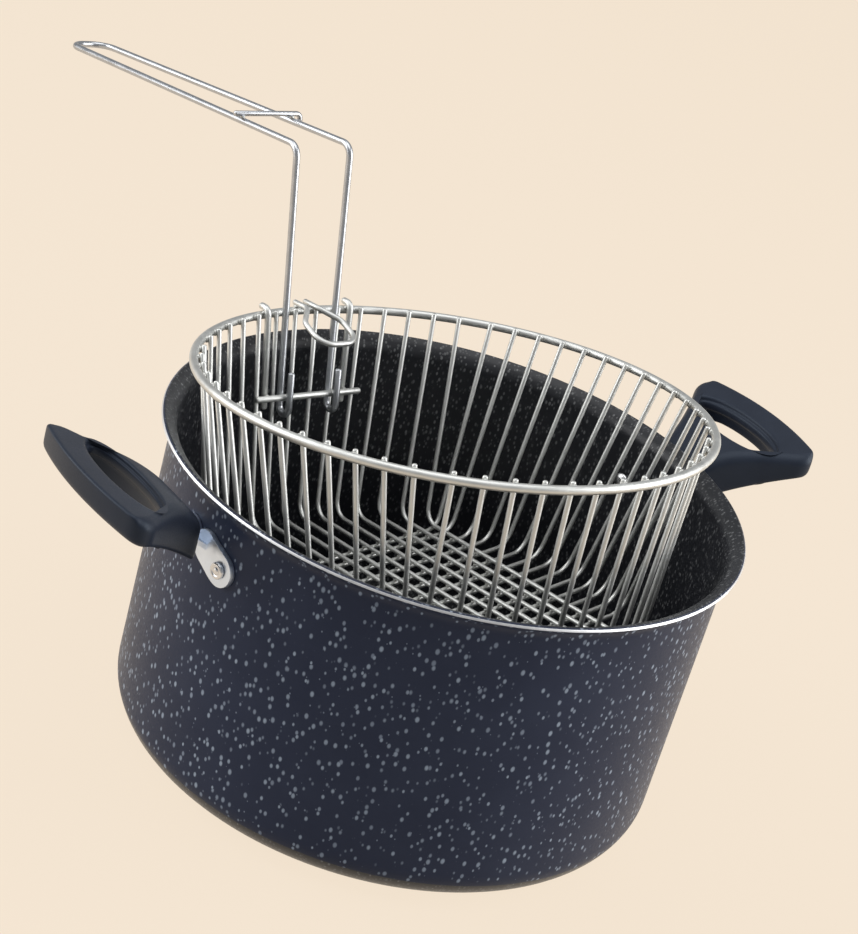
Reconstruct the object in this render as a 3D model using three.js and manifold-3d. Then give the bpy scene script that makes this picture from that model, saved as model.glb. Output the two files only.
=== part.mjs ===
// Deep fry pot: a pressed, coated aluminium pot with two loop handles, and a wire frying basket
// lifted part of the way out of it, with a folding wire handle.
// Millimetres, +Z up, origin at the centre of the pot's underside.
// The pot's handles lie along X, and the basket's handle points towards +Y.
import * as THREE from 'three';
import { mergeVertices } from 'three/addons/utils/BufferGeometryUtils.js';
import Module from 'manifold-3d';

const wasm = await Module();
wasm.setup();

// Driving dimensions: the pot
const potHeight = 137;
const potRadius = 118.5;
const wallThickness = 2;
const baseThickness = 3.5;
const baseFillet = 17;
const lipFlare = 5.5;
const lipRadius = potRadius + lipFlare;
const lipHeight = 9;
const roundFacets = 64;
const curveSteps = 4;

// Driving dimensions: the pot's handles, their brackets, rivets and screws
const gripReach = 61;
const gripWidth = 80.5;
const gripDrop = 3;
const gripTop = potHeight - gripDrop;
const gripRise = 16;
const gripBow = 6.5;
const gripDepth = 11;
const cornerRadius = 7;
const rootDistance = 9.5;
const rootWidth = 26;
const rootDrop = 10;
const rootTop = potHeight - rootDrop;
const rootDepth = 16.5;
const neckBend = 19;
const neckEnd = 33;
const flareDistance = 27;
const flareWidth = 37;
const slotLength = 51;
const slotWidth = 16;
const slotBarWidth = 12.7;
const slotWall = 5.5;
const slotHollow = 1.5;
const bracketThickness = 2;
const bracketArm = 7;
const bracketDrop = 24;
const bracketSpread = 6;
const bracketTop = potHeight - bracketDrop;
const tongueWidth = 14;
const tongueLift = 6.5;
const tongueReach = 22;
const rivetOffset = 16.5;
const rivetDrop = 28;
const rivetHeight = potHeight - rivetDrop;
const rivetDiameter = 5;
const rivetHead = 8;
const rivetOuterHead = 6.8;
const rivetHeadHeight = 1.6;
const screwDistance = 16;
const screwDiameter = 4.4;
const screwLength = 7;
const screwHead = 8;
const screwHeadHeight = 2.4;
const screwSeatWall = 2.2;
const fastenerFacets = 12;
const headSteps = 3;

// Driving dimensions: the basket
const ringClear = 8.5;
const ringRadius = potRadius - wallThickness - ringClear;
const ringWire = 4;
const meshWire = 2.3;
const meshSides = 6;
const wiresEachWay = 14;
const topSpacingDegrees = 6.3;
const floorTaper = 14.5;
const floorRadius = ringRadius - floorTaper;
const floorShare = 0.66;
const wirePitch = 2 * floorShare * floorRadius / (wiresEachWay - 1);
const floorDepth = 95;
const floorBend = 12;
const proudTop = 0.8;
const basketTilt = 8.45;
const basketTurn = 3.2;
const basketSideways = 3;
const basketForward = 10;
const ringLift = 28.7;
const ringHeight = potHeight + ringLift;

// Driving dimensions: the basket's handle and its fittings
const barWire = 3;
const barLength = 58;
const barDepth = 35;
const barSeatOrder = 2.5;
const hangerWire = 3;
const hangerOrder = 2;
const hangerTail = 6;
const loopWire = 2.5;
const loopRoot = 5.6;
const loopWidth = 20.4;
const loopLength = 31;
const loopNeck = 8;
const loopTaper = 9;
const loopBend = 7.4;
const loopDrop = 9;
const handleWire = 3.3;
const hookSpacing = 26.1;
const legLength = 110.6;
const legClear = 2.7;
const hookReturn = 12;
const hookDrop = 7.5;
const gripLength = 196;
const gripSpacing = 29.2;
const gripEndSpacing = 20.2;
const legBend = 6;
const gripEndBend = 9;
const braceWire = 2.5;
const braceDistance = 43;
const braceOverhang = 1.5;
const braceTail = 4;

// Play between pieces that touch, and between a fastener and its hole
const seat = 0.3;
const holePlay = 0.3;

const degrees = Math.PI / 180;

// Finishes
function finish(color, roughness, metalness) {
  return new THREE.MeshStandardMaterial({ color, roughness, metalness });
}
const coating = finish(0x24272f, 0.45, 0.1);
const bakelite = finish(0x2b2f35, 0.5, 0);
const brightSteel = finish(0xc7c8cb, 0.25, 1);
const rivetMetal = finish(0xbfc1c4, 0.3, 1);
const screwSteel = finish(0x9a9da0, 0.35, 1);
const tinnedWire = finish(0xb9b5aa, 0.3, 1);

// Solids are cut and joined as manifolds
function toSolid(geometry) {
  const bare = geometry.clone();
  bare.deleteAttribute('normal');
  bare.deleteAttribute('uv');
  const merged = mergeVertices(bare, 1e-4);
  const vertProperties = new Float32Array(merged.attributes.position.array);
  const triVerts = new Uint32Array(merged.index.array);
  return new wasm.Manifold(new wasm.Mesh({ numProp: 3, vertProperties, triVerts }));
}

function toGeometry(solid) {
  const mesh = solid.getMesh();
  const geometry = new THREE.BufferGeometry();
  geometry.setAttribute('position', new THREE.BufferAttribute(new Float32Array(mesh.vertProperties), 3));
  geometry.setIndex(new THREE.BufferAttribute(new Uint32Array(mesh.triVerts), 1));
  geometry.computeVertexNormals();
  return geometry;
}

function addPiece(group, name, geometry, material) {
  const piece = new THREE.Mesh(geometry, material);
  piece.name = name;
  group.add(piece);
  return piece;
}

// A profile of radius and height turned about Z
function turned(points, facets = roundFacets) {
  return new THREE.LatheGeometry(points, facets).rotateX(Math.PI / 2);
}

// A closed cylinder about Z between two heights
function turnedRod(radius, bottom, top, facets) {
  const outline = [[0, bottom], [radius, bottom], [radius, top], [0, top]];
  return turned(outline.map(([r, z]) => new THREE.Vector2(r, z)), facets);
}

// A wire's centre line: straight runs with a round bend at each inner corner.
// The runs need no points of their own, so only the ends and the bends have any.
class WireRoute extends THREE.Curve {
  constructor(corners, bends, bendSteps) {
    super();
    this.knots = [];
    const last = corners.length - 1;
    const towards = (a, b) => b.clone().sub(a).normalize();
    this.addKnot(corners[0], towards(corners[0], corners[1]));
    for (let i = 1; i < last; i++) {
      const arriving = towards(corners[i - 1], corners[i]);
      const leaving = towards(corners[i], corners[i + 1]);
      this.addBend(corners[i], arriving, leaving, bends[i - 1], bendSteps);
    }
    this.addKnot(corners[last], towards(corners[last - 1], corners[last]));
  }

  addKnot(point, tangent) {
    const previous = this.knots.at(-1);
    const sameSpot = 1e-3;
    if (previous && previous.point.distanceTo(point) < sameSpot) return;
    this.knots.push({ point: point.clone(), tangent: tangent.clone() });
  }

  addBend(corner, arriving, leaving, radius, steps) {
    const turn = arriving.angleTo(leaving);
    const setback = radius * Math.tan(turn / 2);
    const start = corner.clone().addScaledVector(arriving, -setback);
    const axis = arriving.clone().cross(leaving).normalize();
    const centre = start.clone().addScaledVector(axis.clone().cross(arriving), radius);
    for (let k = 0; k <= steps; k++) {
      const spin = new THREE.Quaternion().setFromAxisAngle(axis, turn * k / steps);
      const arm = start.clone().sub(centre).applyQuaternion(spin);
      this.addKnot(centre.clone().add(arm), arriving.clone().applyQuaternion(spin));
    }
  }

  get steps() {
    return this.knots.length - 1;
  }

  knotAt(t) {
    return this.knots[Math.round(t * this.steps)];
  }

  getPointAt(t) {
    return this.knotAt(t).point.clone();
  }

  getTangentAt(t) {
    return this.knotAt(t).tangent.clone();
  }

  getSpacedPoints(divisions) {
    return Array.from({ length: divisions + 1 }, (_, i) => this.getPointAt(i / divisions));
  }
}

function wire(corners, bends, diameter, sides = 8, bendSteps = 4) {
  const route = new WireRoute(corners.map((c) => new THREE.Vector3(...c)), bends, bendSteps);
  const rim = Array.from({ length: sides }, (_, i) => {
    const angle = 2 * Math.PI * i / sides;
    return new THREE.Vector2(Math.cos(angle), Math.sin(angle)).multiplyScalar(diameter / 2);
  });
  const section = new THREE.Shape(rim);
  return new THREE.ExtrudeGeometry(section, { steps: route.steps, extrudePath: route, bevelEnabled: false });
}

const part = new THREE.Group();

// The pot: one wall from the centre of the underside, round the flared lip, to the centre of the floor
const innerRadius = potRadius - wallThickness;
const flareStart = potHeight - lipHeight;
const lipEdge = wallThickness * Math.SQRT1_2;

function potProfile() {
  const innerFillet = Math.max(baseFillet - baseThickness, wallThickness);
  const flareMiddle = (potHeight + flareStart) / 2;
  const path = new THREE.Path();
  path.moveTo(0, 0);
  path.lineTo(potRadius - baseFillet, 0);
  path.absarc(potRadius - baseFillet, baseFillet, baseFillet, -Math.PI / 2, 0);
  path.lineTo(potRadius, flareStart);
  path.quadraticCurveTo(potRadius, flareMiddle, lipRadius, potHeight - lipEdge);
  path.lineTo(lipRadius - lipEdge, potHeight);
  path.quadraticCurveTo(innerRadius, flareMiddle + lipEdge, innerRadius, flareStart + lipEdge);
  path.lineTo(innerRadius, baseThickness + innerFillet);
  path.absarc(innerRadius - innerFillet, baseThickness + innerFillet, innerFillet, 0, -Math.PI / 2, true);
  path.lineTo(0, baseThickness);
  return path.getPoints(curveSteps);
}

// Along a radius of the pot at a place on its wall; the rod's own Z points outwards
function onWall(solid, side, offset, height) {
  const outwards = new THREE.Vector3(side * Math.sqrt(potRadius ** 2 - offset ** 2), offset, 0).normalize();
  const spin = new THREE.Quaternion().setFromUnitVectors(new THREE.Vector3(0, 0, 1), outwards);
  const place = new THREE.Matrix4().makeRotationFromQuaternion(spin).setPosition(0, 0, height);
  return solid.transform(place.elements);
}

const rivetPlaces = [];
for (const side of [-1, 1]) {
  for (const end of [-1, 1]) rivetPlaces.push({ side, offset: end * rivetOffset });
}
const rivetBore = rivetDiameter / 2 + holePlay;
const rivetHole = toSolid(turnedRod(rivetBore, innerRadius / 2, lipRadius, fastenerFacets));

let potSolid = toSolid(turned(potProfile()));
for (const { side, offset } of rivetPlaces) {
  potSolid = potSolid.subtract(onWall(rivetHole, side, offset, rivetHeight));
}
addPiece(part, 'pot_body', toGeometry(potSolid), coating);

// Rivets: a flat dome inside the pot, a shank through wall and bracket, and a smaller dome outside
const bracketInner = potRadius + seat;
const bracketOuter = bracketInner + bracketThickness;

function rivetProfile() {
  const shank = rivetDiameter / 2;
  const inside = innerRadius - seat;
  const outside = bracketOuter + seat;
  const path = new THREE.Path();
  path.moveTo(0, inside - rivetHeadHeight);
  path.quadraticCurveTo(rivetHead / 2, inside - rivetHeadHeight, rivetHead / 2, inside);
  path.lineTo(shank, inside);
  path.lineTo(shank, outside);
  path.lineTo(rivetOuterHead / 2, outside);
  path.quadraticCurveTo(rivetOuterHead / 2, outside + rivetHeadHeight, 0, outside + rivetHeadHeight);
  return path.getPoints(headSteps);
}
const rivetSolid = toSolid(turned(rivetProfile(), fastenerFacets));

// Seen from the side, the handle's outer part has a sloping top.
// Its underside rises from the root to the slot's far edge.
const slotOuter = gripReach - slotBarWidth;
const slotInner = slotOuter - slotWidth;
const rootBottom = rootTop - rootDepth;

function gripTopAt(distance) {
  return gripTop + gripRise * distance / gripReach;
}

const underEnd = gripTopAt(slotOuter) - gripDepth;
const underLean = Math.atan2(underEnd - rootBottom, slotOuter - rootDistance);

// The tongue and the screw lie along and across the underside, from the root's lower edge
function placeOnUnderside(geometry) {
  return geometry.rotateY(-underLean).translate(potRadius + rootDistance, 0, rootBottom);
}

// Across the pot's side: Y and Z of the drawing stay, and the depth runs along X
function extrudeAlongX(shape, from, to, curveSegments) {
  const geometry = new THREE.ExtrudeGeometry(shape, { depth: to - from, bevelEnabled: false, curveSegments });
  const turn = new THREE.Matrix4().makeBasis(
    new THREE.Vector3(0, 1, 0),
    new THREE.Vector3(0, 0, 1),
    new THREE.Vector3(1, 0, 0),
  );
  return geometry.applyMatrix4(turn).translate(from, 0, 0);
}

function bracketArmShape(end) {
  const tilt = Math.atan2(rivetHeight - bracketTop, end * (rivetOffset - bracketSpread));
  const shape = new THREE.Shape();
  shape.absarc(end * rivetOffset, rivetHeight, bracketArm, tilt - Math.PI / 2, tilt + Math.PI / 2);
  shape.absarc(end * bracketSpread, bracketTop, bracketArm, tilt + Math.PI / 2, tilt + 1.5 * Math.PI);
  return shape;
}

// Bracket: a chevron of sheet bent to the wall, with a tongue that reaches into the handle's root
const insideWall = toSolid(turnedRod(bracketInner, 0, 2 * potHeight, roundFacets));
const insideBracket = toSolid(turnedRod(bracketOuter, 0, potHeight, roundFacets));

function tongueBox(play) {
  const from = -rootDistance;
  const length = tongueReach - from + play;
  const box = new THREE.BoxGeometry(length, tongueWidth + 2 * play, bracketThickness + 2 * play);
  return toSolid(placeOnUnderside(box.translate(from + length / 2, 0, tongueLift)));
}

function screwRod(diameter, from, to) {
  const rod = turnedRod(diameter / 2, from, to, fastenerFacets);
  return toSolid(placeOnUnderside(rod.translate(screwDistance, 0, 0)));
}

const screwSeat = tongueLift - bracketThickness / 2 - seat - screwSeatWall;
const screwTip = screwSeat + screwLength;
const screwBore = screwDiameter + 2 * holePlay;

function bracketSolid() {
  const arms = [-1, 1].map((end) => toSolid(extrudeAlongX(bracketArmShape(end), 0, lipRadius, 8)));
  const sheet = arms[0].add(arms[1]).intersect(insideBracket);
  let solid = sheet.add(tongueBox(0)).subtract(insideWall);
  solid = solid.subtract(screwRod(screwBore, screwSeat, screwTip));
  for (const end of [-1, 1]) solid = solid.subtract(onWall(rivetHole, 1, end * rivetOffset, rivetHeight));
  return solid;
}

// Screw: from the handle's underside, through the tongue
function screwSolid() {
  const head = screwHead / 2;
  const shank = screwDiameter / 2;
  const underHead = screwSeat - seat;
  const path = new THREE.Path();
  path.moveTo(0, underHead - screwHeadHeight);
  path.quadraticCurveTo(head, underHead - screwHeadHeight, head, underHead - screwHeadHeight / 2);
  path.lineTo(head, underHead);
  path.lineTo(shank, underHead);
  path.lineTo(shank, screwTip - seat);
  path.lineTo(0, screwTip - seat);
  return placeOnUnderside(turned(path.getPoints(headSteps), fastenerFacets).translate(screwDistance, 0, 0));
}

// Pot handle: its plan, with a narrow root that flares to the outer bar, and a long oval finger slot
function gripPlan() {
  const half = gripWidth / 2;
  const root = rootWidth / 2;
  const flare = flareWidth / 2;
  const shoulder = half - cornerRadius / 2;
  const corner = gripReach - gripBow;
  const cheek = corner + cornerRadius / 3;
  const plan = new THREE.Shape();
  plan.moveTo(rootDistance, -root);
  plan.quadraticCurveTo(flareDistance, -flare, corner - cornerRadius, -shoulder);
  plan.quadraticCurveTo(corner, -half, cheek, -half + cornerRadius);
  plan.quadraticCurveTo(2 * gripReach - cheek, 0, cheek, half - cornerRadius);
  plan.quadraticCurveTo(corner, half, corner - cornerRadius, shoulder);
  plan.quadraticCurveTo(flareDistance, flare, rootDistance, root);
  plan.closePath();
  return plan;
}

function slotPlan(grow) {
  const slot = new THREE.Shape();
  const middle = (slotInner + slotOuter) / 2;
  slot.absellipse(middle, 0, slotWidth / 2 + grow, slotLength / 2 + grow, 0, 2 * Math.PI);
  return slot;
}

function standUp(plan) {
  const depth = 2 * potHeight;
  const geometry = new THREE.ExtrudeGeometry(plan, { depth, bevelEnabled: false, curveSegments: 12 });
  return toSolid(geometry.translate(potRadius, 0, 0));
}

// Its side: the top sinks to the root in a bend, and the underside ends level with the outer bar
function gripSide() {
  const side = new THREE.Shape();
  side.moveTo(rootDistance, rootBottom);
  side.lineTo(slotOuter, underEnd);
  side.lineTo(gripReach, gripTopAt(gripReach) - gripDepth);
  side.lineTo(gripReach, gripTopAt(gripReach));
  side.lineTo(neckEnd, gripTopAt(neckEnd));
  side.quadraticCurveTo(neckBend, gripTopAt(neckBend), rootDistance, rootTop);
  side.closePath();
  return side;
}

// The room below the finger slot, under a roof parallel to the top
function hollowSide() {
  const side = new THREE.Shape();
  side.moveTo(0, 0);
  side.lineTo(gripReach, 0);
  side.lineTo(gripReach, gripTopAt(gripReach) - slotWall);
  side.lineTo(0, gripTopAt(0) - slotWall);
  side.closePath();
  return side;
}

function acrossHandle(side) {
  const depth = gripWidth;
  const geometry = new THREE.ExtrudeGeometry(side, { depth, bevelEnabled: false, curveSegments: 10 });
  return toSolid(geometry.rotateX(Math.PI / 2).translate(potRadius, depth / 2, 0));
}

function gripSolid() {
  const body = standUp(gripPlan()).intersect(acrossHandle(gripSide()));
  const hollow = standUp(slotPlan(slotHollow)).intersect(acrossHandle(hollowSide()));
  const bore = screwRod(screwBore, screwSeat - seat, screwTip);
  const recess = screwRod(screwHead + 2 * holePlay, -rootDepth, screwSeat);
  const cuts = [standUp(slotPlan(0)), hollow, tongueBox(seat), bore, recess];
  return cuts.reduce((solid, cut) => solid.subtract(cut), body);
}

const grip = toGeometry(gripSolid());
const bracket = toGeometry(bracketSolid());
const screw = screwSolid();
for (const [name, turn] of [['right', 0], ['left', Math.PI]]) {
  const side = new THREE.Group();
  side.rotation.z = turn;
  addPiece(side, `${name}_handle`, grip, bakelite);
  addPiece(side, `${name}_bracket`, bracket, brightSteel);
  addPiece(side, `${name}_handle_screw`, screw, screwSteel);
  for (const [end, label] of [[-1, 'a'], [1, 'b']]) {
    const rivet = toGeometry(onWall(rivetSolid, 1, end * rivetOffset, rivetHeight));
    addPiece(side, `${name}_rivet_${label}`, rivet, rivetMetal);
  }
  part.add(side);
}

// The basket has its own frame: origin at the centre of its ring, the handle's side at +Y
const stand = new THREE.Group();
stand.rotation.z = basketTurn * degrees;
part.add(stand);
const basket = new THREE.Group();
basket.position.set(-basketSideways, basketForward, ringHeight);
basket.rotation.x = -basketTilt * degrees;
stand.add(basket);

function ringProfile() {
  const corners = 8;
  return Array.from({ length: corners + 1 }, (_, i) => {
    const angle = 2 * Math.PI * (i % corners) / corners;
    return new THREE.Vector2(Math.cos(angle), Math.sin(angle)).multiplyScalar(ringWire / 2);
  }).map((p) => p.add(new THREE.Vector2(ringRadius, 0)));
}
addPiece(basket, 'basket_ring', turned(ringProfile()), tinnedWire);

// Mesh: two layers of wires, each down one side, across the floor and up the other side
const topRadius = ringRadius - ringWire / 2 - seat - meshWire / 2;
const topHeight = ringWire / 2 + proudTop;
const layerStep = meshWire + seat;

function meshRoute(index, depth) {
  const order = index - (wiresEachWay - 1) / 2;
  const across = order * wirePitch;
  const angle = order * topSpacingDegrees * degrees;
  const corner = Math.sqrt(floorRadius ** 2 - across ** 2);
  const half = [
    [topRadius * Math.sin(angle), topRadius * Math.cos(angle), topHeight],
    [across, corner, -depth],
  ];
  return [...half, ...half.map(([x, y, z]) => [x, -y, z]).reverse()];
}

function number(index) {
  return String(index + 1).padStart(2, '0');
}

for (let i = 0; i < wiresEachWay; i++) {
  const lower = wire(meshRoute(i, floorDepth + layerStep / 2), [floorBend, floorBend], meshWire, meshSides);
  const upper = wire(meshRoute(i, floorDepth - layerStep / 2), [floorBend, floorBend], meshWire, meshSides);
  addPiece(basket, `basket_wire_lower_${number(i)}`, lower, tinnedWire);
  addPiece(basket, `basket_wire_upper_${number(i)}`, upper.rotateZ(Math.PI / 2), tinnedWire);
}

// Place of a lower wire's upright at a depth below the ring
function uprightAt(order, depth) {
  const angle = order * topSpacingDegrees * degrees;
  const across = order * wirePitch;
  const down = (depth + topHeight) / (floorDepth + topHeight);
  const corner = Math.sqrt(floorRadius ** 2 - across ** 2);
  const x = topRadius * Math.sin(angle) * (1 - down) + across * down;
  const y = topRadius * Math.cos(angle) * (1 - down) + corner * down;
  return { x, y };
}

// Crossbar: seated on the inner side of the third upright each way
const seatUpright = uprightAt(barSeatOrder, barDepth);
const barY = seatUpright.y - (meshWire + barWire) / 2 - seat;
const bar = wire([[-barLength / 2, barY, -barDepth], [barLength / 2, barY, -barDepth]], [], barWire);
addPiece(basket, 'handle_crossbar', bar, tinnedWire);

// Hangers: midway between two uprights, behind the crossbar, up inside the ring and bent over its top
function hangerRoute(side) {
  const foot = side * uprightAt(hangerOrder, barDepth).x;
  const head = side * topRadius * Math.sin(hangerOrder * topSpacingDegrees * degrees);
  const standOff = (ringWire + hangerWire) / 2 + seat;
  const ringY = Math.sqrt(ringRadius ** 2 - head ** 2);
  const footY = barY + (barWire + hangerWire) / 2 + seat;
  const end = ringY + ringWire / 2;
  return [
    [foot, footY, -barDepth - hangerTail],
    [head, ringY - standOff, standOff],
    [head, end, standOff],
  ];
}
addPiece(basket, 'left_hanger', wire(hangerRoute(-1), [hangerWire], hangerWire), tinnedWire);
addPiece(basket, 'right_hanger', wire(hangerRoute(1), [hangerWire], hangerWire), tinnedWire);

// Keeper loop: an egg of wire on top of the ring that the handle's legs straddle
function keeperRoute() {
  const height = (ringWire + loopWire) / 2 + seat;
  const inner = ringRadius - loopLength;
  const waist = ringRadius - loopNeck;
  const drop = (y) => height - loopDrop * (waist - y) / (waist - inner);
  const belly = waist - loopTaper;
  const half = [
    [loopRoot / 2, ringRadius + ringWire / 2, height],
    [loopRoot / 2, waist, height],
    [loopWidth / 2, belly, drop(belly)],
    [loopWidth / 2, inner, drop(inner)],
  ];
  return [...half, ...half.map(([x, y, z]) => [-x, y, z]).reverse()];
}
const loopBends = [loopBend, loopBend, loopBend];
const keeper = wire(keeperRoute(), [...loopBends, ...loopBends.toReversed()], loopWire);
addPiece(basket, 'keeper_loop', keeper, tinnedWire);

// The folding handle hooks round the crossbar, and its legs stand a little inside the ring.
// Its own frame has its origin on the crossbar's axis and Z along the legs.
const hookRadius = (barWire + handleWire) / 2 + seat;
const ringAtLeg = Math.sqrt(ringRadius ** 2 - (hookSpacing / 2) ** 2) - barY;
const legOffset = hookRadius + (handleWire + ringWire) / 2 + legClear;
const legLean = Math.acos(legOffset / Math.hypot(ringAtLeg, barDepth)) - Math.atan2(barDepth, ringAtLeg);
const foldingHandle = new THREE.Group();
foldingHandle.position.set(0, barY, -barDepth);
foldingHandle.rotation.x = -legLean;
basket.add(foldingHandle);

// The grip runs level with the ring, so it turns back from the legs by their lean
function gripPoint(x, distance, lift) {
  const y = hookRadius + distance * Math.cos(legLean) - lift * Math.sin(legLean);
  const z = legLength + distance * Math.sin(legLean) + lift * Math.cos(legLean);
  return [x, y, z];
}

function handleRoute() {
  const x = hookSpacing / 2;
  const half = [
    [x, -hookRadius, hookReturn],
    [x, -hookRadius, -hookDrop],
    [x, hookRadius, -hookDrop],
    gripPoint(gripSpacing / 2, 0, 0),
    gripPoint(gripEndSpacing / 2, gripLength, 0),
  ];
  return [...half, ...half.map(([px, y, z]) => [-px, y, z]).reverse()];
}
const handleBends = [hookRadius, hookRadius, legBend, gripEndBend];
const handle = wire(handleRoute(), [...handleBends, ...handleBends.toReversed()], handleWire, 8, 5);
addPiece(foldingHandle, 'basket_handle', handle, tinnedWire);

// Brace: across the top of the two runs, one end bent down beside its run
function braceRoute() {
  const lift = (handleWire + braceWire) / 2 + seat;
  const taper = (gripSpacing - gripEndSpacing) * braceDistance / gripLength;
  const reach = (gripSpacing - taper + handleWire + braceWire) / 2 + seat + braceOverhang;
  return [
    gripPoint(-reach, braceDistance, lift),
    gripPoint(reach, braceDistance, lift),
    gripPoint(reach, braceDistance, lift - braceTail),
  ];
}
addPiece(foldingHandle, 'handle_brace', wire(braceRoute(), [braceWire], braceWire), tinnedWire);

export default part;
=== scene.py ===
import math
import bmesh
import bpy
from mathutils import Matrix, Vector


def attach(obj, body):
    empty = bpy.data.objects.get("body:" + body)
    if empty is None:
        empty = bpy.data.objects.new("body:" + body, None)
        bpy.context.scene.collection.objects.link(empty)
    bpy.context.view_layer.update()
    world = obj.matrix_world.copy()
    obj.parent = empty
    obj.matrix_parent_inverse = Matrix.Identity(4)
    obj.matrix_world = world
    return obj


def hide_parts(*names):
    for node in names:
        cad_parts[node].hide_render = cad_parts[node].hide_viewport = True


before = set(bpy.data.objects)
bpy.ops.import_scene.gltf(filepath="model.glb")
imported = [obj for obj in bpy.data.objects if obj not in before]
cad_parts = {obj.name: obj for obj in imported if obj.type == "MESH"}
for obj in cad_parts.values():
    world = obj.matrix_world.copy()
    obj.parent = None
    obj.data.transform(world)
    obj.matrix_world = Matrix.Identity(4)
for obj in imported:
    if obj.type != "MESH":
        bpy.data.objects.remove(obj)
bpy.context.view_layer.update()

mm = 0.001
degree = math.pi / 180
mergeDistance = 1e-6
smooth = {"turned": 40, "fastener": 50, "wire": 50, "loft": 60, "ring": 60, "sheet": 30, "bead": 80}
print("frame loaded:", len(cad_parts), "solids")


# Working in Blender: selection, editing, copies and placing

def clearSelection():
    if bpy.context.object and bpy.context.object.mode != "OBJECT":
        bpy.ops.object.mode_set(mode="OBJECT")
    bpy.ops.object.select_all(action="DESELECT")


def selectOnly(piece):
    clearSelection()
    piece.select_set(True)
    bpy.context.view_layer.objects.active = piece


def applyPlace():
    bpy.ops.object.transform_apply(location=True, rotation=True, scale=True)


def rename(piece, name):
    piece.name = name
    piece.data.name = name


def startEditing(piece, name):
    rename(piece, name)
    applyPlace()
    bpy.ops.object.mode_set(mode="EDIT")
    bpy.ops.mesh.select_all(action="SELECT")


def finishEditing(smoothAngle):
    bpy.ops.mesh.select_all(action="SELECT")
    bpy.ops.mesh.normals_make_consistent(inside=False)
    bpy.ops.object.mode_set(mode="OBJECT")
    bpy.ops.object.shade_smooth_by_angle(angle=smoothAngle * degree)


def selectOpenEdges():
    bpy.ops.mesh.select_all(action="DESELECT")
    bpy.ops.mesh.select_mode(type="EDGE")
    bpy.ops.mesh.select_non_manifold(extend=False)


def putInPlace(piece, matrix):
    selectOnly(piece)
    piece.matrix_world = matrix
    applyPlace()


def twinOf(piece):
    twin = piece.copy()
    twin.data = piece.data.copy()
    bpy.context.scene.collection.objects.link(twin)
    return twin


def copyOf(piece, name, matrix):
    twin = twinOf(piece)
    rename(twin, name)
    putInPlace(twin, matrix)
    return twin


def hand(piece, body, slot, material, *nodes):
    piece.data.materials.clear()
    piece.data.materials.append(material)
    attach(piece, body)
    if nodes:
        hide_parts(*nodes)
    return piece


# Turned pieces: a ring of points is extruded and scaled from one radius to the next

def turnPiece(name, profile, segments, smoothAngle=smooth["turned"]):
    clearSelection()
    radius, height = profile[0]
    bpy.ops.mesh.primitive_circle_add(vertices=segments, radius=radius * mm, location=(0, 0, height * mm))
    piece = bpy.context.object
    startEditing(piece, name)
    for nextRadius, nextHeight in profile[1:]:
        rise = (0, 0, (nextHeight - height) * mm)
        bpy.ops.mesh.extrude_region_move(TRANSFORM_OT_translate={"value": rise})
        scale = nextRadius / radius
        bpy.ops.transform.resize(value=(scale, scale, 1), center_override=(0, 0, 0))
        radius, height = nextRadius, nextHeight
    bpy.ops.mesh.edge_face_add()
    selectOpenEdges()
    bpy.ops.mesh.edge_face_add()
    bpy.ops.mesh.select_mode(type="VERT")
    finishEditing(smoothAngle)
    return piece


# Wires: a filled circle is extruded along each run and spun round each bend

wiring = {
    "sides": 12, "bendSteps": 6, "thickSides": 16, "thickBendSteps": 10,
    "endRounding": 0.3, "endSegments": 2, "shortestRun": 1e-7,
}


def runWire(step):
    if step.length > wiring["shortestRun"]:
        bpy.ops.mesh.extrude_region_move(TRANSFORM_OT_translate={"value": step})


def bendWire(name, corners, bends, diameter, sides=wiring["sides"], bendSteps=wiring["bendSteps"]):
    points = [Vector(c) * mm for c in corners]
    clearSelection()
    heading = (points[1] - points[0]).normalized()
    bpy.ops.mesh.primitive_circle_add(
        vertices=sides, radius=diameter / 2 * mm, fill_type="NGON",
        location=points[0], rotation=heading.to_track_quat("Z", "Y").to_euler())
    piece = bpy.context.object
    startEditing(piece, name)
    place = points[0]
    for before, corner, after, bend in zip(points, points[1:], points[2:], bends):
        arriving = (corner - before).normalized()
        leaving = (after - corner).normalized()
        angle = arriving.angle(leaving)
        setback = bend * mm * math.tan(angle / 2)
        start = corner - arriving * setback
        runWire(start - place)
        axis = arriving.cross(leaving).normalized()
        centre = start + axis.cross(arriving) * bend * mm
        bpy.ops.mesh.spin(steps=bendSteps, angle=-angle, center=centre, axis=axis)
        place = corner + leaving * setback
    runWire(points[-1] - place)
    bpy.ops.mesh.select_mode(type="FACE")
    bpy.ops.mesh.select_face_by_sides(number=sides, type="EQUAL", extend=False)
    bpy.ops.mesh.bevel(
        offset=wiring["endRounding"] * diameter * mm, segments=wiring["endSegments"], affect="EDGES")
    bpy.ops.mesh.select_mode(type="VERT")
    finishEditing(smooth["wire"])
    return piece


# Lofted pieces: one loop of points is extruded from outline to outline, and the last meets the first

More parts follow.
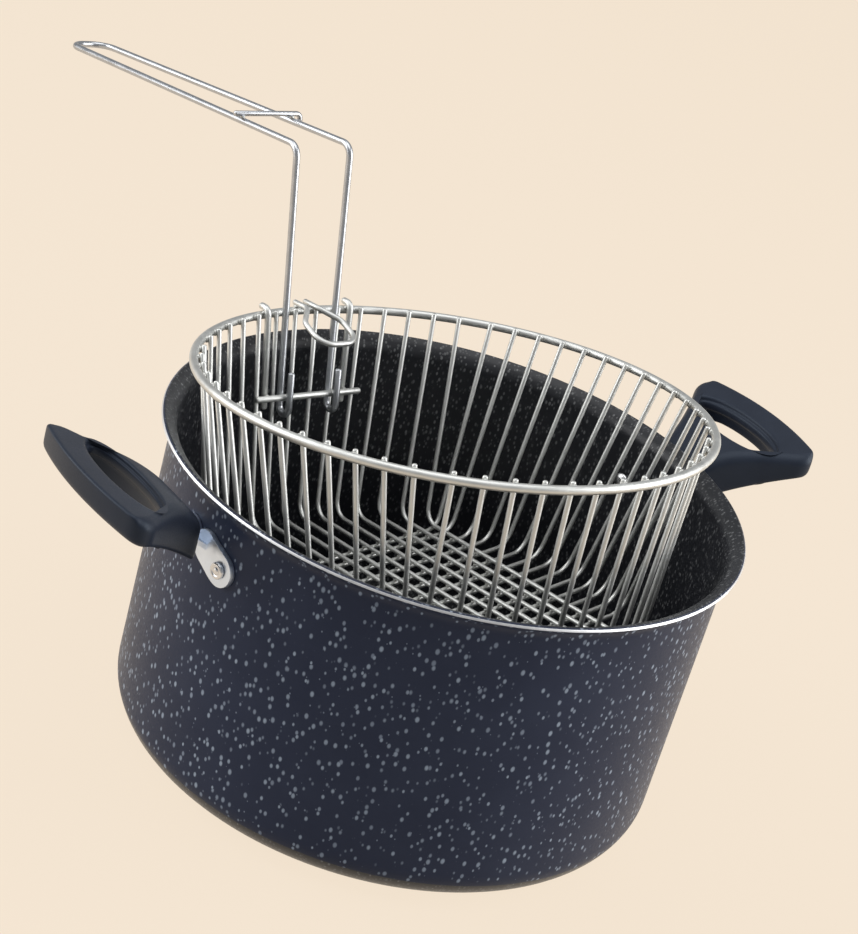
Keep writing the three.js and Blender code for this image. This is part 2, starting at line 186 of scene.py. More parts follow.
def loftPiece(name, loops):
    clearSelection()
    bpy.ops.mesh.primitive_circle_add(vertices=len(loops[0]), radius=1)
    piece = bpy.context.object
    startEditing(piece, name)
    shape = bmesh.from_edit_mesh(piece.data)
    order = shape.verts.layers.int.new("order")
    shape.verts.ensure_lookup_table()
    for i, vert in enumerate(shape.verts):
        vert[order] = i
        vert.co = loops[0][i]
    for loop in loops[1:]:
        bmesh.update_edit_mesh(piece.data)
        bpy.ops.mesh.extrude_region_move()
        shape = bmesh.from_edit_mesh(piece.data)
        order = shape.verts.layers.int["order"]
        for vert in shape.verts:
            if vert.select:
                vert.co = loop[vert[order]]
    bmesh.update_edit_mesh(piece.data)
    selectOpenEdges()
    bpy.ops.mesh.bridge_edge_loops()
    bpy.ops.mesh.select_mode(type="VERT")
    finishEditing(smooth["loft"])
    return piece


# Materials: small helpers, then two shared groups, then one function for each kind of finish

def newMaterial(name):
    material = bpy.data.materials.new(name)
    material.use_nodes = True
    tree = material.node_tree
    return material, tree, tree.nodes["Principled BSDF"]


def newGroup(name, inputs, outputs):
    group = bpy.data.node_groups.new(name, "ShaderNodeTree")
    for direction, sockets in (("INPUT", inputs), ("OUTPUT", outputs)):
        for socket in sockets:
            kind = "NodeSocketVector" if socket == "Vector" else "NodeSocketFloat"
            group.interface.new_socket(name=socket, in_out=direction, socket_type=kind)
    return group, group.nodes.new("NodeGroupInput"), group.nodes.new("NodeGroupOutput")


def feed(tree, value, socket):
    if isinstance(value, bpy.types.NodeSocket):
        tree.links.new(value, socket)
    else:
        socket.default_value = value


def feedAll(tree, node, values):
    for socket, value in values.items():
        feed(tree, value, node.inputs[socket])
    return node


def addNode(tree, kind, values):
    return feedAll(tree, tree.nodes.new(kind), values)


def addGroup(tree, group, values):
    node = tree.nodes.new("ShaderNodeGroup")
    node.node_tree = group
    return feedAll(tree, node, values)


def mathNode(tree, operation, *values):
    node = tree.nodes.new("ShaderNodeMath")
    node.operation = operation
    for socket, value in zip(node.inputs, values):
        feed(tree, value, socket)
    return node.outputs[0]


# a mix node has sockets for each type of value; these are the ones for colours
colorSockets = {"first": 6, "second": 7, "result": 2}


def mixColor(tree, factor, first, second):
    mix = tree.nodes.new("ShaderNodeMix")
    mix.data_type = "RGBA"
    feedAll(tree, mix, {"Factor": factor, colorSockets["first"]: first, colorSockets["second"]: second})
    return mix.outputs[colorSockets["result"]]


def placed(tree, scale=(1, 1, 1)):
    place = tree.nodes.new("ShaderNodeTexCoord")
    mapping = addNode(tree, "ShaderNodeMapping", {"Vector": place.outputs["Object"], "Scale": scale})
    return mapping.outputs["Vector"]


def addBump(tree, shader, height, depth, strength):
    bump = addNode(tree, "ShaderNodeBump", {"Height": height, "Distance": depth * mm, "Strength": strength})
    feed(tree, bump.outputs["Normal"], shader.inputs["Normal"])


noiseShape = {"detail": 4, "roughness": 0.6, "low": 0.3, "high": 0.7}
fleckShape = {"smallest": 0.6, "variation": 0.5, "core": 0.4}


def makeUnevenness():
    group, start, end = newGroup("unevenness", ("Vector", "Scale", "Low", "High"), ("Value", "Height"))
    noise = addNode(group, "ShaderNodeTexNoise", {
        "Vector": start.outputs["Vector"], "Scale": start.outputs["Scale"],
        "Detail": noiseShape["detail"], "Roughness": noiseShape["roughness"]})
    spread = addNode(group, "ShaderNodeMapRange", {
        "Value": noise.outputs["Fac"], "From Min": noiseShape["low"], "From Max": noiseShape["high"],
        "To Min": start.outputs["Low"], "To Max": start.outputs["High"]})
    feed(group, spread.outputs["Result"], end.inputs["Value"])
    feed(group, noise.outputs["Fac"], end.inputs["Height"])
    return group


def makeFlecks():
    group, start, end = newGroup("flecks", ("Vector", "Share", "Size"), ("Mask", "Tone"))
    cells = addNode(group, "ShaderNodeTexVoronoi", {"Vector": start.outputs["Vector"], "Scale": 1})
    draw = addNode(group, "ShaderNodeSeparateColor", {"Color": cells.outputs["Color"]})
    kept = mathNode(group, "LESS_THAN", draw.outputs["Red"], start.outputs["Share"])
    spread = mathNode(
        group, "MULTIPLY_ADD", draw.outputs["Green"], fleckShape["variation"], fleckShape["smallest"])
    size = mathNode(group, "MULTIPLY", spread, start.outputs["Size"])
    core = mathNode(group, "MULTIPLY", size, fleckShape["core"])
    edge = addNode(group, "ShaderNodeMapRange", {
        "Value": cells.outputs["Distance"], "From Min": core, "From Max": size, "To Min": 1, "To Max": 0})
    edge.interpolation_type = "SMOOTHSTEP"
    mask = mathNode(group, "MULTIPLY", edge.outputs["Result"], kept)
    feed(group, mask, end.inputs["Mask"])
    feed(group, draw.outputs["Blue"], end.inputs["Tone"])
    return group


unevenness = makeUnevenness()
flecks = makeFlecks()


def unevenLayer(tree, vector, scale, low=0, high=1):
    layer = addGroup(tree, unevenness, {"Vector": vector, "Scale": scale, "Low": low, "High": high})
    return layer.outputs["Value"], layer.outputs["Height"]


def fleckLayer(tree, layer):
    vector = placed(tree, [1 / (s * mm) for s in layer["spacing"]])
    node = addGroup(tree, flecks, {"Vector": vector, "Share": layer["share"], "Size": layer["size"]})
    return node.outputs["Mask"], node.outputs["Tone"]


pot = {
    "height": 137, "radius": 118.5, "wall": 2, "base": 3.5, "baseFillet": 17,
    "lipRadius": 124, "lipHeight": 9, "lipRounding": 0.35,
    "segments": 160, "hub": 1, "baseRing": 60, "wallRings": (50, 80, 105),
    "filletSteps": 12, "innerFilletSteps": 10, "lipSteps": 8, "crownSteps": 4,
}
coating = {
    "coat": (0.023, 0.030, 0.057, 1), "coatPale": (0.030, 0.038, 0.068, 1),
    "lining": (0.013, 0.014, 0.017, 1), "liningPale": (0.018, 0.019, 0.023, 1),
    "fleck": (0.22, 0.25, 0.31, 1), "fleckPale": (0.36, 0.41, 0.48, 1), "fineFleck": (0.25, 0.255, 0.26, 1),
    "bigFlecks": {"spacing": (2.7, 2.7, 4.1), "share": 1.0, "size": 0.38},
    "dots": {"spacing": (2.6, 2.6, 3.4), "share": 0.3, "size": 0.16},
    "fineFlecks": {"spacing": (1.5, 1.5, 2.7), "share": 1.0, "size": 0.5}, "fineStrength": 0.6,
    "grainScale": 900.0, "smoothest": 0.30, "roughest": 0.46, "cloudScale": 35.0, "shine": 0.14,
    "innerGloss": 0.4, "glossRoughness": 0.35, "flareLift": 0.7, "flareCurve": 84,
    "bareMetal": (0.72, 0.72, 0.73, 1), "bareWidth": 0.95, "bareStart": 0.35, "bareFull": 0.15,
    "bareRougher": 0.06, "fleckRelief": 0.6, "bumpDepth": 0.06, "bumpStrength": 0.5,
}
cutHeight = pot["wall"] * math.sqrt(0.5)


def aroundAxis(tree, plain):
    where = addNode(tree, "ShaderNodeSeparateXYZ", {"Vector": plain}).outputs
    squareX = mathNode(tree, "MULTIPLY", where["X"], where["X"])
    square = mathNode(tree, "MULTIPLY_ADD", where["Y"], where["Y"], squareX)
    return mathNode(tree, "SQRT", square), where["Z"]


# the lining lies inside the middle of the wall, which flares towards the lip
def liningMask(tree, radius, height):
    flare = (pot["height"] - pot["lipHeight"] + coating["flareLift"]) * mm
    climb = mathNode(tree, "MAXIMUM", mathNode(tree, "SUBTRACT", height, flare), 0)
    spread = mathNode(tree, "MULTIPLY", mathNode(tree, "MULTIPLY", climb, climb), coating["flareCurve"])
    middle = mathNode(tree, "ADD", spread, (pot["radius"] - pot["wall"] / 2) * mm)
    inside = mathNode(tree, "LESS_THAN", radius, middle)
    aboveFloor = mathNode(tree, "GREATER_THAN", height, pot["base"] / 2 * mm)
    return mathNode(tree, "MULTIPLY", inside, aboveFloor)


# the lip's cut edge is bare on its outer part: there radius and height add up to the most
def bareMask(tree, radius, height):
    edge = (pot["lipRadius"] + pot["height"] - cutHeight) * mm
    coated = (pot["height"] - cutHeight - pot["lipRadius"] + coating["bareWidth"] * math.sqrt(2)) * mm
    bare = addNode(tree, "ShaderNodeMapRange", {
        "Value": mathNode(tree, "ADD", radius, height),
        "From Min": edge - coating["bareStart"] * mm, "From Max": edge - coating["bareFull"] * mm})
    outerPart = mathNode(tree, "LESS_THAN", mathNode(tree, "SUBTRACT", height, radius), coated)
    return mathNode(tree, "MULTIPLY", bare.outputs["Result"], outerPart)


def speckledCoating():
    material, tree, shader = newMaterial("speckledCoating")
    plain = placed(tree)
    radius, height = aroundAxis(tree, plain)
    lined = liningMask(tree, radius, height)
    notLined = mathNode(tree, "SUBTRACT", 1, lined)
    bare = bareMask(tree, radius, height)
    cloud = unevenLayer(tree, plain, coating["cloudScale"])[0]
    roughness, grain = unevenLayer(
        tree, plain, coating["grainScale"], coating["smoothest"], coating["roughest"])
    outer = mixColor(tree, cloud, coating["coat"], coating["coatPale"])
    inner = mixColor(tree, cloud, coating["lining"], coating["liningPale"])
    color = mixColor(tree, lined, outer, inner)
    # dots and big flecks outside, a finer grain of unequal flecks on the lining
    dots = fleckLayer(tree, coating["dots"])[0]
    color = mixColor(tree, mathNode(tree, "MULTIPLY", dots, notLined), color, coating["fleck"])
    fineMask, fineTone = fleckLayer(tree, coating["fineFlecks"])
    fine = mathNode(tree, "MULTIPLY", fineMask, fineTone)
    quieter = mathNode(tree, "MULTIPLY", lined, coating["fineStrength"])
    color = mixColor(tree, mathNode(tree, "MULTIPLY", fine, quieter), color, coating["fineFleck"])
    bigMask, bigTone = fleckLayer(tree, coating["bigFlecks"])
    big = mathNode(tree, "MULTIPLY", bigMask, notLined)
    color = mixColor(tree, big, color, mixColor(tree, bigTone, coating["fleck"], coating["fleckPale"]))
    color = mixColor(tree, bare, color, coating["bareMetal"])
    rougher = mathNode(tree, "MULTIPLY", bare, coating["bareRougher"])
    feed(tree, color, shader.inputs["Base Color"])
    feed(tree, bare, shader.inputs["Metallic"])
    feed(tree, mathNode(tree, "ADD", roughness, rougher), shader.inputs["Roughness"])
    feed(tree, coating["shine"], shader.inputs["Specular IOR Level"])
    feed(tree, mathNode(tree, "MULTIPLY", lined, coating["innerGloss"]), shader.inputs["Coat Weight"])
    feed(tree, coating["glossRoughness"], shader.inputs["Coat Roughness"])
    raised = mathNode(tree, "MULTIPLY_ADD", big, coating["fleckRelief"], grain)
    addBump(tree, shader, raised, coating["bumpDepth"], coating["bumpStrength"])
    return material


resin = {
    "dark": (0.016, 0.020, 0.031, 1), "pale": (0.021, 0.026, 0.040, 1), "cloudScale": 60.0,
    "skinScale": 1400.0, "smoothest": 0.36, "roughest": 0.48,
    "shine": 0.25, "shineTint": (0.72, 0.85, 1.0, 1), "bumpDepth": 0.03, "bumpStrength": 0.5,
}


def handleResin():
    material, tree, shader = newMaterial("handleResin")
    plain = placed(tree)
    roughness, skin = unevenLayer(tree, plain, resin["skinScale"], resin["smoothest"], resin["roughest"])
    rubbed = unevenLayer(tree, plain, resin["cloudScale"])[0]
    feed(tree, mixColor(tree, rubbed, resin["dark"], resin["pale"]), shader.inputs["Base Color"])
    feed(tree, roughness, shader.inputs["Roughness"])
    feed(tree, resin["shine"], shader.inputs["Specular IOR Level"])
    feed(tree, resin["shineTint"], shader.inputs["Specular Tint"])
    addBump(tree, shader, skin, resin["bumpDepth"], resin["bumpStrength"])
    return material


# bright metals: dark and pale colour, least and most roughness, fineness and depth of the marks
metals = {
    "bracketSteel": ((0.70, 0.78, 0.90, 1), (0.77, 0.85, 0.97, 1), 0.34, 0.46, (300, 300, 2500), 0.003),
    "rivetMetal": ((0.66, 0.66, 0.67, 1), (0.80, 0.80, 0.81, 1), 0.22, 0.36, (900, 900, 900), 0.005),
    "screwSteel": ((0.42, 0.42, 0.43, 1), (0.56, 0.56, 0.57, 1), 0.28, 0.42, (900, 900, 900), 0.005),
    "tinnedWire": ((0.60, 0.605, 0.585, 1), (0.68, 0.685, 0.665, 1), 0.42, 0.52, (120, 120, 120), 0.0),
    "handleWire": ((0.46, 0.475, 0.50, 1), (0.54, 0.555, 0.58, 1), 0.27, 0.35, (120, 120, 120), 0.0),
    "weldMetal": ((0.52, 0.52, 0.50, 1), (0.66, 0.66, 0.63, 1), 0.46, 0.58, (900, 900, 900), 0.01),
}
metalStain = 120.0
metalBump = 0.4


def brightMetal(name):
    dark, pale, smoothest, roughest, fineness, depth = metals[name]
    material, tree, shader = newMaterial(name)
    roughness, marks = unevenLayer(tree, placed(tree, fineness), 1.0, smoothest, roughest)
    stain = unevenLayer(tree, placed(tree), metalStain)[0]
    feed(tree, mixColor(tree, stain, dark, pale), shader.inputs["Base Color"])
    feed(tree, 1, shader.inputs["Metallic"])
    feed(tree, roughness, shader.inputs["Roughness"])
    addBump(tree, shader, marks, depth, metalBump)
    return material


coatingFinish = speckledCoating()
resinFinish = handleResin()
finishes = {name: brightMetal(name) for name in metals}
print("finishes made")


# The pot: outside from the base up, over the lip and down the inside

def arcPoints(centre, radius, start, stop, steps):
    angles = [(start + (stop - start) * i / steps) * degree for i in range(steps + 1)]
    return [(centre[0] + radius * math.cos(a), centre[1] + radius * math.sin(a)) for a in angles]


def curvePoints(start, control, stop, steps):
    points = []
    for i in range(1, steps + 1):
        t = i / steps
        points.append(tuple((1 - t) ** 2 * a + 2 * t * (1 - t) * b + t * t * c
                            for a, b, c in zip(start, control, stop)))
    return points


def potProfile():
    outer, inner = pot["radius"], pot["radius"] - pot["wall"]
    flare = pot["height"] - pot["lipHeight"]
    middle = (pot["height"] + flare) / 2
    fillet, innerFillet = pot["baseFillet"], pot["baseFillet"] - pot["base"]
    outerLip = (pot["lipRadius"], pot["height"] - cutHeight)
    innerLip = (pot["lipRadius"] - cutHeight, pot["height"])
    crown = tuple((a + b) / 2 + pot["lipRounding"] for a, b in zip(outerLip, innerLip))
    points = [(pot["hub"], 0), (pot["baseRing"], 0)]
    points += arcPoints((outer - fillet, fillet), fillet, -90, 0, pot["filletSteps"])
    points += [(outer, h) for h in (*pot["wallRings"], flare)]
    points += curvePoints((outer, flare), (outer, middle), outerLip, pot["lipSteps"])
    points += curvePoints(outerLip, crown, innerLip, pot["crownSteps"])
    points += curvePoints(innerLip, (inner, middle + cutHeight), (inner, flare + cutHeight), pot["lipSteps"])
    points += [(inner, h) for h in reversed(pot["wallRings"])]
    centre = (inner - innerFillet, pot["base"] + innerFillet)
    points += arcPoints(centre, innerFillet, 0, -90, pot["innerFilletSteps"])
    points += [(pot["baseRing"], pot["base"]), (pot["hub"], pot["base"])]
    return points


potBody = turnPiece("potBody", potProfile(), pot["segments"])
hand(potBody, "pot", "speckled_coating", coatingFinish, "pot_body")
print("pot turned:", len(potBody.data.polygons), "faces")


# The pot's handles: loops run from the finger slot over the top, down the skirt and back to the slot

grip = {
    "reach": 61, "width": 80.5, "top": 134, "rise": 16, "bow": 6.5, "depth": 11, "corner": 7,
    "rootDistance": 9.5, "rootWidth": 26, "rootTop": 127, "rootDepth": 16.5, "rootCorner": 3,
    "rootSpread": 0.9, "neckBend": 19, "neckEnd": 33, "flareDistance": 27, "flareWidth": 37,
    "slotLength": 51, "slotWidth": 16, "slotBar": 12.7, "slotWall": 5.5, "slotHollow": 1.5,
    "ledgeWidth": 1.4, "ledgeDepth": 2.0, "points": 132,
    "rootSteps": 4, "flareSteps": 24, "cornerSteps": 8, "bowSteps": 32, "smoothing": 1,
    "creaseRadius": 1.3, "sideRadius": 4.5, "lowRadius": 2.2,
    "sideSoftening": (0.4, 0.85), "rootSoftening": (0.3, 0.9), "rootSoftness": 0.6,
    "topShares": (0.15, 0.35, 0.55, 0.75, 0.9), "edgeAngles": (25, 50, 70, 90),
    "lowShares": (0.35, 0.7), "lowTurn": 0.3, "skirtBand": 2, "topMargin": 1.1, "lowMargin": 1,
    "fineBreak": 0.3, "stepBreak": 0.6, "wallBreak": 0.5, "ledgeBreak": 0.4, "topBreak": 0.9,
}
slotOuter = grip["reach"] - grip["slotBar"]
slotCentre = slotOuter - grip["slotWidth"] / 2
rootBottom = grip["rootTop"] - grip["rootDepth"]


def plateAt(distance):
    return grip["top"] + grip["rise"] * distance / grip["reach"]


def topAt(distance):
    if distance >= grip["neckEnd"]:
        return plateAt(distance)
    start, bend, end = grip["rootDistance"], grip["neckBend"], grip["neckEnd"]
    a, b = start - 2 * bend + end, 2 * (bend - start)
    reach = max(0, distance - start)
    t = (math.sqrt(b * b + 4 * a * reach) - b) / (2 * a)
    return (1 - t) ** 2 * grip["rootTop"] + 2 * t * (1 - t) * plateAt(bend) + t * t * plateAt(end)


underEnd = plateAt(slotOuter) - grip["depth"]
underRise = (underEnd - rootBottom) / (slotOuter - grip["rootDistance"])


def bottomAt(distance):
    if distance > slotOuter:
        return plateAt(distance) - grip["depth"]
    return rootBottom + underRise * (distance - grip["rootDistance"])


def evenly(outline, count):
    closed = [Vector(p) for p in outline + outline[:1]]
    lengths = [0]
    for a, b in zip(closed, closed[1:]):
        lengths.append(lengths[-1] + (b - a).length)
    points, i = [], 0
    for k in range(count):
        along = lengths[-1] * k / count
        while lengths[i + 1] < along:
            i += 1
        t = (along - lengths[i]) / (lengths[i + 1] - lengths[i])
        points.append(closed[i].lerp(closed[i + 1], t))
    return points


def gripOutline():
    half, root, near = grip["width"] / 2, grip["rootWidth"] / 2, grip["rootDistance"]
    flare = (grip["flareDistance"], grip["flareWidth"] / 2)
    corner = grip["reach"] - grip["bow"]
    shoulder = (corner - grip["corner"], half - grip["corner"] / 2)
    cheek = corner + grip["corner"] / 3
    side = [(near, 0), (near, root - grip["rootCorner"])]
    rootEnd = (near + grip["rootCorner"], root + grip["rootSpread"])
    side += curvePoints(side[-1], (near, root), rootEnd, grip["rootSteps"])
    side += curvePoints(side[-1], flare, shoulder, grip["flareSteps"])
    side += curvePoints(side[-1], (corner, half), (cheek, half - grip["corner"]), grip["cornerSteps"])
    farSide = (cheek, grip["corner"] - half)
    bow = curvePoints(side[-1], (2 * grip["reach"] - cheek, 0), farSide, grip["bowSteps"])
    side += bow[:grip["bowSteps"] // 2]
    return evenly(side + [(d, -y) for d, y in side[-2:0:-1]], grip["points"])


def outwards(outline):
    normals = []
    for i in range(len(outline)):
        ahead = outline[(i + 1) % len(outline)] - outline[i - 1]
        normals.append(Vector((-ahead.y, ahead.x)).normalized())
    return normals


def smoothStep(low, high, value):
    t = min(1, max(0, (value - low) / (high - low)))
    return t * t * (3 - 2 * t)


def edgeRadius(normal):
    side = smoothStep(*grip["sideSoftening"], abs(normal.y))
    root = grip["rootSoftness"] * smoothStep(*grip["rootSoftening"], -normal.x)
    return grip["creaseRadius"] + (grip["sideRadius"] - grip["creaseRadius"]) * max(side, root)


def slotLoop(outline, grow):
    loop = []
    for p in outline:
        angle = math.atan2(p.y / grip["slotLength"], (p.x - slotCentre) / grip["slotWidth"])
        d = slotCentre + (grip["slotWidth"] / 2 + grow) * math.cos(angle)
        loop.append(Vector((d, (grip["slotLength"] / 2 + grow) * math.sin(angle))))
    return loop


def inward(outline, normals, radii, share):
    return [p - n * r * share for p, n, r in zip(outline, normals, radii)]


def between(first, second, share):
    return [p.lerp(q, share) for p, q in zip(first, second)]


def raised(points, heights):
    return [Vector((pot["radius"] + p.x, p.y, z)) * mm for p, z in zip(points, heights)]


def belowTop(points, drop):
    return raised(points, [topAt(p.x) - drop for p in points])


def aboveBottom(points, lift):
    return raised(points, [bottomAt(p.x) + lift for p in points])


def gripLoops():
    outline = gripOutline()
    normals = outwards(outline)
    radii = [edgeRadius(n) for n in normals]
    low, hollow, wall = grip["lowRadius"], grip["slotHollow"], grip["slotWall"]
    ledge, ledgeDepth = grip["ledgeWidth"], grip["ledgeDepth"]
    fine, step, wallBreak = grip["fineBreak"], grip["stepBreak"], grip["wallBreak"]
    topInner = slotLoop(outline, ledge + grip["topMargin"])
    topOuter = inward(outline, normals, radii, 1)
    lowOuter = inward(outline, normals, [low] * len(outline), 1)
    lowInner = slotLoop(outline, hollow + grip["lowMargin"])
    loops = [belowTop(topInner, 0)]
    loops += [belowTop(between(topInner, topOuter, t), 0) for t in grip["topShares"]]
    loops.append(belowTop(topOuter, 0))
    for angle in grip["edgeAngles"]:
        points = inward(outline, normals, radii, 1 - math.sin(angle * degree))
        drop = 1 - math.cos(angle * degree)
        loops.append(raised(points, [topAt(p.x) - r * drop for p, r in zip(points, radii)]))
    loops.append(aboveBottom(outline, low + grip["skirtBand"]))
    loops.append(aboveBottom(outline, low))
    loops.append(aboveBottom(between(outline, lowOuter, grip["lowTurn"]), low * grip["lowTurn"]))
    loops.append(aboveBottom(lowOuter, 0))
    loops += [aboveBottom(between(lowOuter, lowInner, t), 0) for t in grip["lowShares"]]
    loops.append(aboveBottom(lowInner, 0))
    loops.append(aboveBottom(slotLoop(outline, hollow + fine), fine))
    loops.append(aboveBottom(slotLoop(outline, hollow), grip["lowMargin"]))
    # up the finger slot: how much wider it is at each depth below the top
    stations = [
        (hollow, wall + step), (hollow - step, wall), (wallBreak, wall), (0, wall - wallBreak),
        (0, ledgeDepth + step), (fine, ledgeDepth), (ledge - fine, ledgeDepth),
        (ledge, ledgeDepth - grip["ledgeBreak"]), (ledge, grip["topBreak"]), (ledge + fine, fine),
    ]
    loops += [belowTop(slotLoop(outline, grow), depth) for grow, depth in stations]
    return loops


screw = {
    "distance": 16, "radius": 2.2, "head": 4, "headHeight": 2.4, "headEdge": 0.5, "seat": 2.7, "tip": 9.7,
    "centre": 0.3, "dome": ((2.0, 0.1), (3.2, 0.5), (3.85, 1.1)), "segments": 32,
    "slotWidth": 1.0, "slotDepth": 0.9,
    "recess": 4.3, "recessTop": 3.0, "recessDepth": 12, "recessSegments": 40,
}
underLean = math.atan(underRise)
onUnderside = (Matrix.Translation(Vector((pot["radius"] + grip["rootDistance"], 0, rootBottom)) * mm)
               @ Matrix.Rotation(-underLean, 4, "Y") @ Matrix.Translation((screw["distance"] * mm, 0, 0)))


def cutAway(piece, cutter):
    clearSelection()
    bpy.context.view_layer.objects.active = piece
    cut = piece.modifiers.new("cut", "BOOLEAN")
    cut.operation = "DIFFERENCE"
    cut.solver = "EXACT"
    cut.object = cutter
    bpy.ops.object.modifier_apply(modifier="cut")
    bpy.data.objects.remove(cutter)


def recessProfile():
    centre, wide = screw["centre"], screw["recess"]
    low, top = -screw["recessDepth"], screw["recessTop"]
    return [(centre, low), (wide, low), (wide, top), (centre, top)]


rightHandle = loftPiece("rightHandle", gripLoops())
softer = rightHandle.modifiers.new("softer", "SUBSURF")
softer.levels = grip["smoothing"]
softer.render_levels = grip["smoothing"]
bpy.ops.object.modifier_apply(modifier="softer")
recess = turnPiece("screwRecess", recessProfile(), screw["recessSegments"])
putInPlace(recess, onUnderside)
cutAway(rightHandle, recess)
leftHandle = copyOf(rightHandle, "leftHandle", Matrix.Rotation(math.pi, 4, "Z"))
hand(rightHandle, "pot", "handle_resin", resinFinish, "right_handle")
hand(leftHandle, "pot", "handle_resin", resinFinish, "left_handle")
print("handles lofted:", len(rightHandle.data.polygons), "faces each")


# Brackets: the stamped sheet of the solids, with its edges broken

bracketEdge = {"width": 0.45, "segments": 3, "angle": 35}


def softened(node, name):
    piece = twinOf(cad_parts[node])
    piece.parent = None
    piece.matrix_world = Matrix.Identity(4)
    for key in list(piece.keys()):
        del piece[key]
    selectOnly(piece)
    startEditing(piece, name)
    bpy.ops.mesh.remove_doubles(threshold=mergeDistance)
    bpy.ops.mesh.tris_convert_to_quads()
    bpy.ops.object.mode_set(mode="OBJECT")
    rounding = piece.modifiers.new("rounding", "BEVEL")
    rounding.width = bracketEdge["width"] * mm
    rounding.segments = bracketEdge["segments"]
    rounding.limit_method = "ANGLE"
    rounding.angle_limit = bracketEdge["angle"] * degree
    bpy.ops.object.modifier_apply(modifier="rounding")
    bpy.ops.object.shade_smooth_by_angle(angle=smooth["sheet"] * degree)
    return piece


potSides = (("right", 0), ("left", math.pi))
for side, _ in potSides:
    bracket = softened(side + "_bracket", side + "Bracket")
    hand(bracket, "pot", "bracket_steel", finishes["bracketSteel"], side + "_bracket")
print("brackets made")


# Rivets: a flat dome inside, a shank and a swaged head with a ring pressed in it

rivet = {
    "height": 109, "offset": 16.5, "shank": 2.5, "inside": 116.2, "outside": 121.1, "segments": 32,
    "dome": ((0.3, 1.6), (1.6, 1.52), (2.8, 1.15), (3.6, 0.6), (3.95, 0.15), (4.0, 0)),
    "head": ((3.4, 0), (3.4, 0.7), (3.2, 1.1), (2.8, 1.35), (2.3, 1.38), (1.95, 1.0), (1.55, 0.95),
             (1.2, 1.3), (0.8, 1.5), (0.3, 1.55)),
}


def rivetProfile():
    inside, outside = rivet["inside"], rivet["outside"]
    dome = [(radius, inside - height) for radius, height in rivet["dome"]]
    head = [(radius, outside + height) for radius, height in rivet["head"]]
    return dome + [(rivet["shank"], inside), (rivet["shank"], outside)] + head


rivetForm = turnPiece("rivetForm", rivetProfile(), rivet["segments"], smooth["fastener"])
for side, turn in potSides:
    for label, end in (("a", -1), ("b", 1)):
        along = math.asin(end * rivet["offset"] / pot["radius"])
        aim = Matrix.Rotation(turn + along, 4, "Z") @ Matrix.Rotation(math.pi / 2, 4, "Y")
        place = Matrix.Translation((0, 0, rivet["height"] * mm)) @ aim
        head = copyOf(rivetForm, side + "Rivet" + label.upper(), place)
        hand(head, "pot", "rivet_metal", finishes["rivetMetal"], side + "_rivet_" + label)
bpy.data.objects.remove(rivetForm)
print("rivets turned")


# Screws: under each handle, with a driver slot

screwLow = screw["seat"] - screw["headHeight"]


def screwProfile():
    seat, head, shank, tip = screw["seat"], screw["head"], screw["radius"], screw["tip"]
    dome = [(radius, screwLow + height) for radius, height in screw["dome"]]
    stem = [(head, seat - screw["headEdge"]), (head, seat), (shank, seat), (shank, tip)]
    return [(screw["centre"], screwLow)] + dome + stem + [(screw["centre"], tip)]


screwForm = turnPiece("screwForm", screwProfile(), screw["segments"], smooth["fastener"])
clearSelection()
bpy.ops.mesh.primitive_cube_add(size=1)
cutter = bpy.context.object
cutter.scale = (4 * screw["head"] * mm, screw["slotWidth"] * mm, 2 * screw["slotDepth"] * mm)
cutter.location = (0, 0, screwLow * mm)
applyPlace()
cutAway(screwForm, cutter)
for side, turn in potSides:
    fastener = copyOf(screwForm, side + "HandleScrew", Matrix.Rotation(turn, 4, "Z") @ onUnderside)
    hand(fastener, "pot", "screw_steel", finishes["screwSteel"], side + "_handle_screw")
bpy.data.objects.remove(screwForm)
print("screws made")


# The basket: its own frame, with the ring's centre at the origin and the handle's side at +Y

basket = {
    "ringRadius": 108, "ringWire": 4, "meshWire": 2.3, "wiresEachWay": 14, "topSpacing": 6.3,
    "floorRadius": 93.5, "floorShare": 0.66, "floorDepth": 95, "floorBend": 8, "proudTop": 0.8, "seat": 0.3,
    "tilt": 8.45, "turn": 3.2, "place": (-3, 10, 165.7),
    "skew": 12, "skewLimit": 45.5, "skewedShare": 0.58,
    "ringDrawn": 3.7, "meshDrawn": 2.15, "topDrawn": 0.3,
    "ringSides": 16, "ringSteps": 180, "buttAngle": -100, "buttHalf": 1.1, "buttProud": 0.3,
}
basketPlace = (Matrix.Rotation(basket["turn"] * degree, 4, "Z")
               @ Matrix.Translation(Vector(basket["place"]) * mm)
               @ Matrix.Rotation(-basket["tilt"] * degree, 4, "X"))
topRadius = basket["ringRadius"] - basket["ringWire"] / 2 - basket["seat"] - basket["meshWire"] / 2
topHeight = basket["ringWire"] / 2 + basket["proudTop"]
drawnTop = basket["ringWire"] / 2 + basket["topDrawn"]
layerStep = basket["meshWire"] + basket["seat"]
lastWire = basket["wiresEachWay"] - 1
wirePitch = 2 * basket["floorShare"] * basket["floorRadius"] / lastWire
skewedPitch = wirePitch * basket["skewedShare"] / basket["floorShare"]


